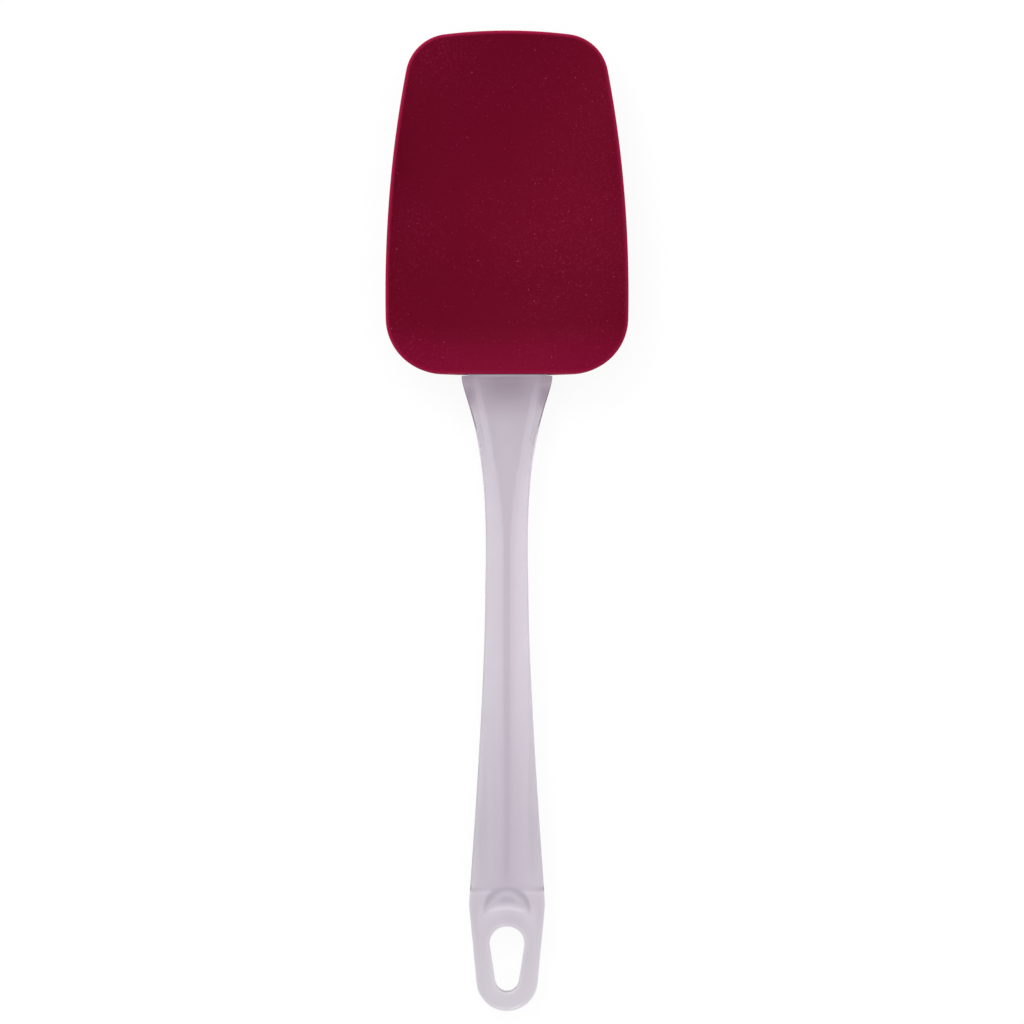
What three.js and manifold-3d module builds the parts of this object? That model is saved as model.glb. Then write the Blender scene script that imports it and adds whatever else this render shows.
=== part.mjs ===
// Silicone serving spoon: a crimson silicone head pushed onto the flat tongue of a clear plastic handle.
// Millimetres. +Y runs from the hanging loop to the tip of the head and +Z is up out of the bowl.
// The origin is in the middle of the spoon's footprint, on the table that it lies on.

import * as THREE from "three";
import { mergeVertices } from "three/addons/utils/BufferGeometryUtils.js";
import Module from "manifold-3d";

// Head seen from above
const HEAD_LENGTH = 92.5;
const HEAD_WIDTH = 65.4;
const WIDEST_FROM_ROOT = 21.5;
const SIDE_RADIUS = 330;
const ROOT_CORNER_RADIUS = 15;
const TIP_CORNER_RADIUS = 12;
const TIP_CROWN_RADIUS = 139;

// Bowl of the head
const SIDE_RIM_HEIGHT = 12.5;
const TIP_RIM_HEIGHT = 10.5;
const BOWL_FLOOR_HEIGHT = 4.5;
const BOWL_CENTRE_FROM_ROOT = 56;
const BOWL_STEEPNESS = 2;
const BOWL_SQUARENESS = 4;
const HEAD_WALL = 2.4;
const RIM_ROUND = 1.1;

// Socket that swells from the back of the head around the tongue
const SOCKET_WALL = 1.7;
const SOCKET_COVER = 1.3;
const SOCKET_SLOPE = 0.9;
const SOCKET_NOSE_STRETCH = 4;
const SOCKET_BLEND = 2;

// Fit of the tongue in its pocket and of the shoulder against the head
const FIT_GAP = 0.3;

// Tongue of the handle
const TONGUE_LENGTH = 26;
const TONGUE_THICKNESS = 4;
const TONGUE_TIP_THICKNESS = 2.2;
const TONGUE_SIDE_TAPER = 0.8;
const TONGUE_CORNER_RADIUS = 4;
const TONGUE_EDGE_ROUND = 0.6;

// Handle seen from above
const SHOULDER_WIDTH = 24.6;
const SHOULDER_LEDGE = 1.6;
const SHOULDER_CHAMFER = 0.5;
const WAIST_WIDTH = 11.9;
const GRIP_WIDTH = 20.6;
const NECK_LENGTH = 57.3;
const GRIP_LENGTH = 86;
const LOOP_LENGTH = 28.9;
const LOOP_END_RADIUS = 8.3;

// Pull of the curves that draw the neck and the grip, along the handle and across it
const NECK_START_PULL = new THREE.Vector2(0.9, 7.6);
const NECK_END_PULL = new THREE.Vector2(1.2, 42.4);
const GRIP_START_PULL = 29.7;
const GRIP_END_PULL = new THREE.Vector2(0.4, 7.6);

// Facets of the grip: a narrow land along the middle, with a shallow bevel down to each side
const GRIP_THICKNESS = 8.6;
const LAND_WIDTH = 1.9;
const FRONT_FALL = 2.2;
const BACK_RISE = 1.4;
const EDGE_ROUND = 0.8;
const NECK_FACET_WIDTH = 16.2;
const NECK_FACET_LENGTH = 46.5;
const NECK_FACET_CURVE = 1.5;

// Hanging loop
const LOOP_THICKNESS = 5.7;
const LOOP_END_THICKNESS = 4.5;
const LOOP_RAMP = 0.45;
const LOOP_MARGIN = 4.6;
const LOOP_END_BAR = 5.2;
const HOLE_BROAD_RADIUS = 4.7;
const HOLE_NARROW_RADIUS = 3.2;
const HOLE_SPAN = 9.9;
const BACK_STEP_FROM_LOOP = 3.8;
const BACK_STEP_LENGTH = 3;

// Sizes that follow from the others
const TONGUE_WIDTH = SHOULDER_WIDTH - 2 * SHOULDER_LEDGE;
const TONGUE_LEVEL = SOCKET_WALL + FIT_GAP + TONGUE_THICKNESS / 2;
const SHOULDER_TOP = TONGUE_LEVEL + TONGUE_THICKNESS / 2 + SHOULDER_LEDGE;
const SHOULDER_BOTTOM = TONGUE_LEVEL - TONGUE_THICKNESS / 2 - SHOULDER_LEDGE;
const POCKET_LENGTH = TONGUE_LENGTH + FIT_GAP;
const POCKET_HALF = TONGUE_WIDTH / 2 + FIT_GAP;

// Places along the spoon
const TOTAL_LENGTH = HEAD_LENGTH + FIT_GAP + NECK_LENGTH + GRIP_LENGTH + LOOP_LENGTH;
const ROOT_Y = TOTAL_LENGTH / 2 - HEAD_LENGTH;
const SHOULDER_Y = ROOT_Y - FIT_GAP;
const WAIST_Y = SHOULDER_Y - NECK_LENGTH;
const GRIP_END_Y = WAIST_Y - GRIP_LENGTH;
const LOOP_END_Y = GRIP_END_Y - LOOP_LENGTH;
const HOLE_NARROW_Y = LOOP_END_Y + LOOP_END_BAR + HOLE_NARROW_RADIUS;
const HOLE_BROAD_Y = HOLE_NARROW_Y + HOLE_SPAN;
const BACK_STEP_Y = GRIP_END_Y + BACK_STEP_FROM_LOOP;

// How finely each stretch is drawn
const HEAD_OUTLINE_STEPS = { root: 18, rootCorner: 7, side: 10, tipCorner: 6, crown: 8 };
const BACK_RINGS = [0.2, 0.38, 0.5, 0.6, 0.68, 0.76, 0.84, 0.92];
const BOWL_RINGS = [1, 0.88, 0.74, 0.58, 0.4, 0.2];
const ROUND_STEPS = 3;
const FLANK_STEPS = 3;
const NECK_ROWS = 14;
const GRIP_ROWS = 18;
const LOOP_ROWS = 10;
const LOOP_END_ROWS = 8;
const TONGUE_CORNER_ROWS = 3;
const HOLE_STEPS = 10;
const LOOP_END_TURN = THREE.MathUtils.degToRad(-86);
const CUT_MARGIN = 2;

const { lerp, clamp, smoothstep } = THREE.MathUtils;

const wasm = await Module();
wasm.setup();

// The lower of two heights, with a soft blend where they cross
function softMin(first, second, blend) {
  const overlap = Math.max(blend - Math.abs(first - second), 0) / blend;
  return Math.min(first, second) - (overlap * overlap * blend) / 4;
}

function softMax(first, second, blend) {
  return -softMin(-first, -second, blend);
}

// Closed skin through a stack of rings with equal numbers of points, with a fan of faces over each end.
// Each four-sided patch is split along its shorter diagonal, so both halves of the spoon are split alike.
function loft(rings) {
  const count = rings[0].length;
  const points = rings.flat();
  const faces = [];
  for (let row = 0; row + 1 < rings.length; row++) {
    for (let column = 0; column < count; column++) {
      const next = (column + 1) % count;
      const near = row * count;
      const far = near + count;
      const [a, b, c, d] = [near + column, near + next, far + next, far + column];
      const splitAC = points[a].distanceTo(points[c]) < points[b].distanceTo(points[d]);
      faces.push(...(splitAC ? [a, b, c, a, c, d] : [a, b, d, b, c, d]));
    }
  }
  const lastRow = (rings.length - 1) * count;
  const firstMiddle = points.push(middleOf(rings[0])) - 1;
  const lastMiddle = points.push(middleOf(rings[rings.length - 1])) - 1;
  for (let column = 0; column < count; column++) {
    const next = (column + 1) % count;
    faces.push(firstMiddle, next, column);
    faces.push(lastMiddle, lastRow + column, lastRow + next);
  }
  const geometry = new THREE.BufferGeometry().setFromPoints(points);
  geometry.setIndex(faces);
  return geometry;
}

function middleOf(ring) {
  const sum = ring.reduce((total, point) => total.add(point), new THREE.Vector3());
  return sum.divideScalar(ring.length);
}

function toSolid(geometry) {
  geometry.deleteAttribute("normal");
  geometry.deleteAttribute("uv");
  const merged = mergeVertices(geometry);
  const vertProperties = new Float32Array(merged.attributes.position.array);
  const triVerts = new Uint32Array(merged.index.array);
  return new wasm.Manifold(new wasm.Mesh({ numProp: 3, vertProperties, triVerts }));
}

function toGeometry(solid) {
  const mesh = solid.getMesh();
  const geometry = new THREE.BufferGeometry();
  geometry.setAttribute("position", new THREE.BufferAttribute(mesh.vertProperties, 3));
  geometry.setIndex(new THREE.BufferAttribute(mesh.triVerts, 1));
  geometry.computeVertexNormals();
  return geometry;
}

// Point at two given distances from two centres, on the right of the line between them
function meetingPoint(first, firstDistance, second, secondDistance) {
  const along = second.clone().sub(first);
  const span = along.length();
  along.divideScalar(span);
  const reach = (firstDistance ** 2 - secondDistance ** 2 + span ** 2) / (2 * span);
  const offset = Math.sqrt(firstDistance ** 2 - reach ** 2);
  const right = new THREE.Vector2(along.y, -along.x);
  return first.clone().addScaledVector(along, reach).addScaledVector(right, offset);
}

// Outline of the head from above, anticlockwise from the left of its root, with the root edge on y = 0.
// Long side arcs and a crowned tip run into each other through corner arcs.
function headOutline() {
  const side = new THREE.Vector2(HEAD_WIDTH / 2 - SIDE_RADIUS, WIDEST_FROM_ROOT);
  const crown = new THREE.Vector2(0, HEAD_LENGTH - TIP_CROWN_RADIUS);
  const rootRadius = SIDE_RADIUS - ROOT_CORNER_RADIUS;
  const tipRadius = SIDE_RADIUS - TIP_CORNER_RADIUS;
  const rootReach = Math.sqrt(rootRadius ** 2 - (ROOT_CORNER_RADIUS - side.y) ** 2);
  const root = new THREE.Vector2(side.x + rootReach, ROOT_CORNER_RADIUS);
  const tip = meetingPoint(crown, TIP_CROWN_RADIUS - TIP_CORNER_RADIUS, side, tipRadius);
  const sideStart = root.clone().sub(side).angle() - 2 * Math.PI;
  const sideEnd = tip.clone().sub(side).angle();
  const crownStart = tip.clone().sub(crown).angle();
  const mirrored = (turn) => Math.PI - turn;
  const steps = HEAD_OUTLINE_STEPS;
  const arc = (x, y, radius, from, to) => new THREE.ArcCurve(x, y, radius, from, to, false);
  return [
    [new THREE.LineCurve(new THREE.Vector2(-root.x, 0), new THREE.Vector2(root.x, 0)), steps.root],
    [arc(root.x, root.y, ROOT_CORNER_RADIUS, -Math.PI / 2, sideStart), steps.rootCorner],
    [arc(side.x, side.y, SIDE_RADIUS, sideStart, sideEnd), steps.side],
    [arc(tip.x, tip.y, TIP_CORNER_RADIUS, sideEnd, crownStart), steps.tipCorner],
    [arc(0, crown.y, TIP_CROWN_RADIUS, crownStart, mirrored(crownStart)), steps.crown],
    [arc(-tip.x, tip.y, TIP_CORNER_RADIUS, mirrored(crownStart), mirrored(sideEnd)), steps.tipCorner],
    [arc(-side.x, side.y, SIDE_RADIUS, mirrored(sideEnd), mirrored(sideStart)), steps.side],
    [arc(-root.x, root.y, ROOT_CORNER_RADIUS, mirrored(sideStart), 1.5 * Math.PI), steps.rootCorner],
  ];
}

// Points along the outline, each with the direction that faces out of the head there
function outlineSamples() {
  const samples = [];
  for (const [curve, steps] of headOutline()) {
    for (let step = 0; step < steps; step++) {
      const point = curve.getPoint(step / steps);
      const tangent = curve.getTangent(step / steps);
      samples.push({ point, outward: new THREE.Vector2(tangent.y, -tangent.x) });
    }
  }
  return samples;
}

function rimHeight(fromRoot) {
  return lerp(SIDE_RIM_HEIGHT, TIP_RIM_HEIGHT, smoothstep(fromRoot, BOWL_CENTRE_FROM_ROOT, HEAD_LENGTH));
}

function tongueThickness(fromRoot) {
  return lerp(TONGUE_THICKNESS, TONGUE_TIP_THICKNESS, fromRoot / TONGUE_LENGTH);
}

// How far a place on the head lies outside the pocket's outline, which is grown by a margin.
// Towards the tip it is counted less, so that what hangs on it fades out slowly there.
function beyondPocket(place, margin) {
  const across = Math.max(Math.abs(place.x) - POCKET_HALF - margin, 0);
  const along = Math.max(place.y - POCKET_LENGTH - margin, 0);
  return Math.hypot(across, along / SOCKET_NOSE_STRETCH);
}

// How far up the bowl's wall a place lies: oval near the middle, and square like the outline near the rim
function upWall(place, spread) {
  const along = place.y - BOWL_CENTRE_FROM_ROOT;
  const reach = along > 0 ? HEAD_LENGTH - BOWL_CENTRE_FROM_ROOT : BOWL_CENTRE_FROM_ROOT;
  const oval = Math.hypot(place.x / (HEAD_WIDTH / 2), along / reach);
  return lerp(oval, spread, spread ** BOWL_SQUARENESS);
}

// Inside of the bowl: it sinks from the rim to the middle, but keeps a cover over the pocket
function bowlHeight(place, spread, rim) {
  const dish = lerp(BOWL_FLOOR_HEIGHT, rim, upWall(place, spread) ** BOWL_STEEPNESS);
  const pocketTop = TONGUE_LEVEL + tongueThickness(Math.min(place.y, TONGUE_LENGTH)) / 2 + FIT_GAP;
  const cover = pocketTop + SOCKET_COVER - SOCKET_SLOPE * beyondPocket(place, 0);
  return softMax(dish, cover, SOCKET_COVER);
}

// Back of the head: one wall below the bowl, swelling down to a flat foot under the pocket
function backHeight(place, bowl) {
  const socket = SOCKET_SLOPE * beyondPocket(place, SOCKET_WALL);
  return Math.max(softMin(bowl - HEAD_WALL, socket, SOCKET_BLEND), 0);
}

// Rings of the head from the middle of the back, over the rounded rim, to the middle of the bowl
function headRings() {
  const middle = new THREE.Vector2(0, BOWL_CENTRE_FROM_ROOT);
  const columns = outlineSamples().map(({ point, outward }) => {
    const inner = point.clone().addScaledVector(outward, -RIM_ROUND);
    const rim = rimHeight(point.y);
    const place = (spread) => middle.clone().lerp(inner, spread);
    const bowl = (spread) => bowlHeight(place(spread), spread, rim);
    const back = (spread) => backHeight(place(spread), bowl(spread));
    const roundHeight = Math.min(RIM_ROUND, (bowl(1) - back(1)) / 2);
    return { point, outward, place, bowl, back, roundHeight };
  });
  const lift = (place, height) => new THREE.Vector3(place.x, ROOT_Y + place.y, height);
  const rings = [];
  for (const spread of BACK_RINGS) {
    rings.push(columns.map(({ place, back }) => lift(place(spread), back(spread))));
  }
  for (let step = 0; step <= ROUND_STEPS; step++) {
    rings.push(columns.map((column) => lift(...rimPoint(column, step, column.back(1), 1))));
  }
  for (let step = ROUND_STEPS; step >= 1; step--) {
    rings.push(columns.map((column) => lift(...rimPoint(column, step, column.bowl(1), -1))));
  }
  for (const spread of BOWL_RINGS) {
    rings.push(columns.map(({ place, bowl }) => lift(place(spread), bowl(spread))));
  }
  return rings;
}

// Point on the rounded rim: step 0 is on the face at the given height, the last step is on the outline
function rimPoint({ point, outward, roundHeight }, step, height, sign) {
  const turn = (Math.PI / 2) * (step / ROUND_STEPS);
  const inset = RIM_ROUND * (1 - Math.sin(turn));
  return [point.clone().addScaledVector(outward, -inset), height + sign * roundHeight * (1 - Math.cos(turn))];
}

// Places across a section from its right side to its left: close together round each edge, then up the bevel
function columnsAcross(half, land, round) {
  const inner = half - Math.min(round, half / 2);
  const crest = Math.min(land, inner / 2);
  const right = [];
  for (let step = 0; step <= ROUND_STEPS; step++) {
    const turn = (Math.PI / 2) * (step / ROUND_STEPS);
    right.push(lerp(inner, half, Math.cos(turn)));
  }
  for (let step = 1; step <= FLANK_STEPS; step++) {
    right.push(lerp(inner, crest, step / FLANK_STEPS));
  }
  const left = right.map((x) => -x).reverse();
  return [...right, ...left];
}

// How far a rounded edge has dropped from its face, at a distance in from the side
function edgeDrop(fromSide, round) {
  const short = Math.max(round - Math.max(fromSide, 0), 0);
  return round - Math.sqrt(round * round - short * short);
}

// One ring across the handle, from its front face over to its back
function sectionRing(y, { half, frontLand, backLand, round, front, back, fromSide }) {
  const frontPoint = (x) => new THREE.Vector3(x, y, front(x) - edgeDrop(fromSide(x), round));
  const backPoint = (x) => new THREE.Vector3(x, y, back(x) + edgeDrop(fromSide(x), round));
  const over = columnsAcross(half, frontLand, round).map(frontPoint);
  const under = columnsAcross(half, backLand, round).reverse().map(backPoint);
  return [...over, ...under];
}

// Ring of the tongue at a distance from the head's root, grown all round by a gap when it cuts the pocket
function tongueRing(fromRoot, gap) {
  const reach = fromRoot - gap;
  const cornerReach = Math.max(reach - TONGUE_LENGTH + TONGUE_CORNER_RADIUS, 0);
  const cornerCut = edgeDrop(TONGUE_CORNER_RADIUS - cornerReach, TONGUE_CORNER_RADIUS);
  const half = TONGUE_WIDTH / 2 - (TONGUE_SIDE_TAPER * reach) / TONGUE_LENGTH - cornerCut + gap;
  const halfThickness = tongueThickness(reach) / 2 + gap;
  return sectionRing(ROOT_Y + fromRoot, {
    half,
    frontLand: half / 2,
    backLand: half / 2,
    round: TONGUE_EDGE_ROUND,
    front: () => TONGUE_LEVEL + halfThickness,
    back: () => TONGUE_LEVEL - halfThickness,
    fromSide: (x) => half - Math.abs(x),
  });
}

// Rings of the tongue from its rounded tip to a place at or below the head's root
function tongueRings(gap, endFromRoot) {
  const rings = [];
  for (let row = TONGUE_CORNER_ROWS; row >= 0; row--) {
    const turn = (Math.PI / 2) * (row / TONGUE_CORNER_ROWS);
    const reach = TONGUE_LENGTH - TONGUE_CORNER_RADIUS * (1 - Math.sin(turn));
    rings.push(tongueRing(reach + gap, gap));
  }
  rings.push(tongueRing(endFromRoot, gap));
  return rings;
}

// Right side of the handle from above: flared neck, slim waist, widening grip, tapering loop and rounded end
function handleSide() {
  const shoulder = new THREE.Vector2(SHOULDER_WIDTH / 2, SHOULDER_Y - SHOULDER_CHAMFER);
  const waist = new THREE.Vector2(WAIST_WIDTH / 2, WAIST_Y);
  const gripEnd = new THREE.Vector2(GRIP_WIDTH / 2, GRIP_END_Y);
  const loopEnd = new THREE.Vector2(0, LOOP_END_Y + LOOP_END_RADIUS);
  const neckStart = shoulder.clone().sub(NECK_START_PULL);
  const neckEnd = new THREE.Vector2(waist.x - NECK_END_PULL.x, waist.y + NECK_END_PULL.y);
  const gripStart = new THREE.Vector2(waist.x, waist.y - GRIP_START_PULL);
  const gripStop = new THREE.Vector2(gripEnd.x - GRIP_END_PULL.x, gripEnd.y + GRIP_END_PULL.y);
  const toGrip = gripEnd.clone().sub(loopEnd);
  const tangentTurn = Math.atan2(toGrip.y, toGrip.x) - Math.acos(LOOP_END_RADIUS / toGrip.length());
  const tangentPoint = new THREE.Vector2(Math.cos(tangentTurn), Math.sin(tangentTurn));
  tangentPoint.multiplyScalar(LOOP_END_RADIUS).add(loopEnd);
  const endArc = new THREE.ArcCurve(loopEnd.x, loopEnd.y, LOOP_END_RADIUS, tangentTurn, LOOP_END_TURN, true);
  return [
    [new THREE.CubicBezierCurve(shoulder, neckStart, neckEnd, waist), NECK_ROWS],
    [new THREE.CubicBezierCurve(waist, gripStart, gripStop, gripEnd), GRIP_ROWS],
    [new THREE.LineCurve(gripEnd, tangentPoint), LOOP_ROWS],
    [endArc, LOOP_END_ROWS],
  ];
}

// Half width of the flat land: narrow along the grip, opening in a V up the neck
function landHalf(y) {
  const upNeck = clamp((y - SHOULDER_Y + NECK_FACET_LENGTH) / NECK_FACET_LENGTH, 0, 1);
  return lerp(LAND_WIDTH, NECK_FACET_WIDTH, upNeck ** NECK_FACET_CURVE) / 2;
}

// How far down its bevel a place lies: 0 on the land and 1 at the side
function downBevel(x, y, half) {
  const land = landHalf(y);
  return clamp((Math.abs(x) - land) / Math.max(half - land, EDGE_ROUND), 0, 1);
}

// Front of the hanging loop, which gets thinner to its end
function loopHeight(y) {
  return lerp(LOOP_THICKNESS, LOOP_END_THICKNESS, clamp((GRIP_END_Y - y) / LOOP_LENGTH, 0, 1));
}

// Front of the handle: the grip's roof, dished away by a cone round the top of the hanging hole
function frontHeight(x, y, half) {
  const alongHandle = (SHOULDER_Y - y) / (SHOULDER_Y - GRIP_END_Y);
  const roof = lerp(SHOULDER_TOP, GRIP_THICKNESS, alongHandle) - FRONT_FALL * downBevel(x, y, half);
  const fromHole = Math.hypot(x, Math.max(y - HOLE_BROAD_Y, 0));
  const cone = loopHeight(y) + LOOP_RAMP * Math.max(fromHole - HOLE_BROAD_RADIUS - LOOP_MARGIN, 0);
  return Math.min(roof, cone);
}

// Back of the handle: shallow bevels that end in a short step, then flat on the table to the loop's end
function backOfHandle(x, y, half) {
  const land = lerp(0, SHOULDER_BOTTOM, clamp((y - WAIST_Y) / NECK_LENGTH, 0, 1));
  const bevelled = smoothstep(y, BACK_STEP_Y - BACK_STEP_LENGTH / 2, BACK_STEP_Y + BACK_STEP_LENGTH / 2);
  return land + BACK_RISE * bevelled * downBevel(x, y, half);
}

function handleRing(side, inset) {
  const { x: fullHalf, y } = side;
  const loopEndY = LOOP_END_Y + LOOP_END_RADIUS;
  const fromLoopEnd = (x) => LOOP_END_RADIUS - Math.hypot(x, y - loopEndY);
  return sectionRing(y + inset, {
    half: fullHalf - inset,
    frontLand: landHalf(y),
    backLand: landHalf(y),
    round: EDGE_ROUND,
    front: (x) => frontHeight(x, y, fullHalf) - inset,
    back: (x) => backOfHandle(x, y, fullHalf) + inset,
    fromSide: (x) => (y < loopEndY ? fromLoopEnd(x) : fullHalf - inset - Math.abs(x)),
  });
}

// Rings of the whole handle: tongue, chamfered shoulder, then down to the end of the loop
function handleRings() {
  const curves = handleSide();
  const shoulder = curves[0][0].getPoint(0);
  const rings = [...tongueRings(0, -FIT_GAP), handleRing(shoulder, SHOULDER_CHAMFER)];
  for (const [curve, rows] of curves) {
    const first = curve === curves[0][0] ? 0 : 1;
    for (let row = first; row <= rows; row++) {
      rings.push(handleRing(curve.getPoint(row / rows), 0));
    }
  }
  return rings;
}

// Egg-shaped hole, broad towards the grip
function hangingHole() {
  const lean = Math.asin((HOLE_NARROW_RADIUS - HOLE_BROAD_RADIUS) / HOLE_SPAN);
  const egg = new THREE.Shape();
  egg.absarc(0, HOLE_BROAD_Y, HOLE_BROAD_RADIUS, lean, Math.PI - lean);
  egg.absarc(0, HOLE_NARROW_Y, HOLE_NARROW_RADIUS, Math.PI - lean, 2 * Math.PI + lean);
  const depth = LOOP_THICKNESS + 2 * CUT_MARGIN;
  const hole = new THREE.ExtrudeGeometry(egg, { depth, bevelEnabled: false, curveSegments: HOLE_STEPS });
  return hole.translate(0, 0, -CUT_MARGIN);
}

function siliconeHead() {
  const pocket = toSolid(loft(tongueRings(FIT_GAP, -CUT_MARGIN)));
  return toGeometry(toSolid(loft(headRings())).subtract(pocket));
}

function clearHandle() {
  return toGeometry(toSolid(loft(handleRings())).subtract(toSolid(hangingHole())));
}

function namedMesh(name, geometry, material) {
  const mesh = new THREE.Mesh(geometry, material);
  mesh.name = name;
  return mesh;
}

const silicone = new THREE.MeshStandardMaterial({ color: 0x6e0b26, roughness: 0.7, metalness: 0 });
const clearPlastic = new THREE.MeshStandardMaterial({ color: 0xd2c8d5, roughness: 0.15, metalness: 0 });

const spoon = new THREE.Group();
spoon.name = "silicone_serving_spoon";
spoon.add(namedMesh("silicone_head", siliconeHead(), silicone));
spoon.add(namedMesh("handle", clearHandle(), clearPlastic));

export default spoon;
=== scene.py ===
# Silicone serving spoon: a matte crimson silicone head on the tongue of a clear, faintly lilac handle.
# The spoon's own sizes are in millimetres. Finishes, lamps and floor are measured in metres.
# +Y runs from the hanging loop to the tip of the head and +Z is up out of the bowl.

import math

import bpy
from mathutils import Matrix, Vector


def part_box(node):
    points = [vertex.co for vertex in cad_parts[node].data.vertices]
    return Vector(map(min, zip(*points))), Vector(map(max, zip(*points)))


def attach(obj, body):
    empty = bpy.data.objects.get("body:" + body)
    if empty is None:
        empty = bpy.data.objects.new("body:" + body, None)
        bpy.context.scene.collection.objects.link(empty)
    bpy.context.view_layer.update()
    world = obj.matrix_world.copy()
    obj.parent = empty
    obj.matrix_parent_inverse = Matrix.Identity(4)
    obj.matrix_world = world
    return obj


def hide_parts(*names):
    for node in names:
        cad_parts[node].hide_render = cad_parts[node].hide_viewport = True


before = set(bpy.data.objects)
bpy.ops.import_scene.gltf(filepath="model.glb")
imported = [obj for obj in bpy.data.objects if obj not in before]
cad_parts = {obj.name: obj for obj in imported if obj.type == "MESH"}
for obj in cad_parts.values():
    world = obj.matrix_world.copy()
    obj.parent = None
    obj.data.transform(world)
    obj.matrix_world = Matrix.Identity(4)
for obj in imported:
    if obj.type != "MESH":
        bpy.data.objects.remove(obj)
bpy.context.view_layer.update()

MM = 0.001
RIM_GLOW_ATTRIBUTE = "rim_share"

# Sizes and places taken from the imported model
head_low, head_high = (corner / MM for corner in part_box("silicone_head"))
handle_low, handle_high = (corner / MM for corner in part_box("handle"))
HEAD_WIDTH = head_high.x - head_low.x
HEAD_LENGTH = head_high.y - head_low.y
SIDE_RIM_HEIGHT = head_high.z
ROOT_Y = head_low.y
TONGUE_LENGTH = handle_high.y - ROOT_Y
LOOP_END_Y = handle_low.y

# Head seen from above
WIDEST_FROM_ROOT = 21.5
SIDE_RADIUS = 330
ROOT_CORNER_RADIUS = 15
TIP_CORNER_RADIUS = 12
TIP_CROWN_RADIUS = 139

# Bowl of the head
TIP_RIM_HEIGHT = 10.5
BOWL_FLOOR_HEIGHT = 4.5
BOWL_CENTRE_FROM_ROOT = 56
BOWL_STEEPNESS = 2
BOWL_SQUARENESS = 4
HEAD_WALL = 2.4
RIM_ROUND = 1.1
# Width over which the painted glow at the thin rim fades in from the outline
RIM_GLOW = 1.3

# Socket that swells from the back of the head around the tongue
SOCKET_WALL = 1.7
SOCKET_COVER = 1.3
SOCKET_SLOPE = 0.9
SOCKET_NOSE_STRETCH = 4
SOCKET_BLEND = 2
FIT_GAP = 0.3

# Tongue of the handle
TONGUE_THICKNESS = 4
TONGUE_TIP_THICKNESS = 2.2
TONGUE_SIDE_TAPER = 0.8
TONGUE_CORNER_RADIUS = 4
TONGUE_EDGE_ROUND = 0.6

# Handle seen from above
SHOULDER_WIDTH = 24.6
SHOULDER_LEDGE = 1.6
SHOULDER_ROUND = 0.45
SHOULDER_BEAD = 0.14
SHOULDER_BEAD_LENGTH = 2
WAIST_WIDTH = 11.9
GRIP_WIDTH = 20.6
NECK_LENGTH = 57.3
GRIP_LENGTH = 86
LOOP_END_RADIUS = 8.3
NECK_START_PULL = Vector((0.9, 7.6))
NECK_END_PULL = Vector((1.2, 42.4))
GRIP_START_PULL = 29.7
GRIP_END_PULL = Vector((0.4, 7.6))

# Facets of the grip and the hanging loop
GRIP_THICKNESS = 8.6
LAND_WIDTH = 1.9
FRONT_FALL = 2.2
BACK_RISE = 1.4
EDGE_ROUND = 0.8
NECK_ROUND = 0.15
NECK_ROUND_CURVE = 3
CREASE_ROUND = 0.15
NECK_FACET_WIDTH = 16.2
NECK_FACET_LENGTH = 46.5
NECK_FACET_CURVE = 1.5
LOOP_THICKNESS = 5.7
LOOP_END_THICKNESS = 4.5
LOOP_RAMP = 0.45
LOOP_MARGIN = 4.6
LOOP_BLEND = 1.6
LOOP_FOOT_BLEND = 3
LOOP_END_BAR = 5.2
# Round patch of painted shade on the loop's ramp above the hanging hole
SHADED_DOME_RADIUS = 6.5
HOLE_BROAD_RADIUS = 4.7
HOLE_NARROW_RADIUS = 3.2
HOLE_SPAN = 9.9
HOLE_ROUND = 1
BACK_STEP_FROM_LOOP = 3.8
BACK_STEP_LENGTH = 3

# Sizes and places that follow from the others
TONGUE_WIDTH = SHOULDER_WIDTH - 2 * SHOULDER_LEDGE
TONGUE_LEVEL = SOCKET_WALL + FIT_GAP + TONGUE_THICKNESS / 2
SHOULDER_TOP = TONGUE_LEVEL + TONGUE_THICKNESS / 2 + SHOULDER_LEDGE
SHOULDER_BOTTOM = TONGUE_LEVEL - TONGUE_THICKNESS / 2 - SHOULDER_LEDGE
POCKET_LENGTH = TONGUE_LENGTH + FIT_GAP
POCKET_HALF = TONGUE_WIDTH / 2 + FIT_GAP
SHOULDER_Y = ROOT_Y - FIT_GAP
WAIST_Y = SHOULDER_Y - NECK_LENGTH
GRIP_END_Y = WAIST_Y - GRIP_LENGTH
HOLE_NARROW_Y = LOOP_END_Y + LOOP_END_BAR + HOLE_NARROW_RADIUS
HOLE_BROAD_Y = HOLE_NARROW_Y + HOLE_SPAN
LOOP_END_MIDDLE_Y = LOOP_END_Y + LOOP_END_RADIUS
# Middle of the round patch of painted shade
SHADED_DOME_Y = HOLE_BROAD_Y + HOLE_BROAD_RADIUS + LOOP_MARGIN
BACK_STEP_Y = GRIP_END_Y + BACK_STEP_FROM_LOOP

# How finely the pieces are drawn
HEAD_PITCH = 1.0
ROW_PITCH = 0.45
BACK_STEPS = 26
BOWL_STEPS = 32
ROUND_STEPS = 8
FLANK_STEPS = 12
CREASE_STEPS = 4
LAND_STEPS = 3
HOLE_STEPS = 48
LOOP_END_TURN = math.radians(-89)
HOLE_FLARE = math.radians(80)
CUT_MARGIN = 2
SHARP_ANGLE = math.radians(40)

# Camera: straight above with a long lens, the spoon a little low and left of the picture's middle
PICTURE_SIZE = 276.6
PICTURE_CENTRE = Vector((1.35, 2.77))
FOCUS_HEIGHT = 7
LENS = 120
SENSOR = 36
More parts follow.
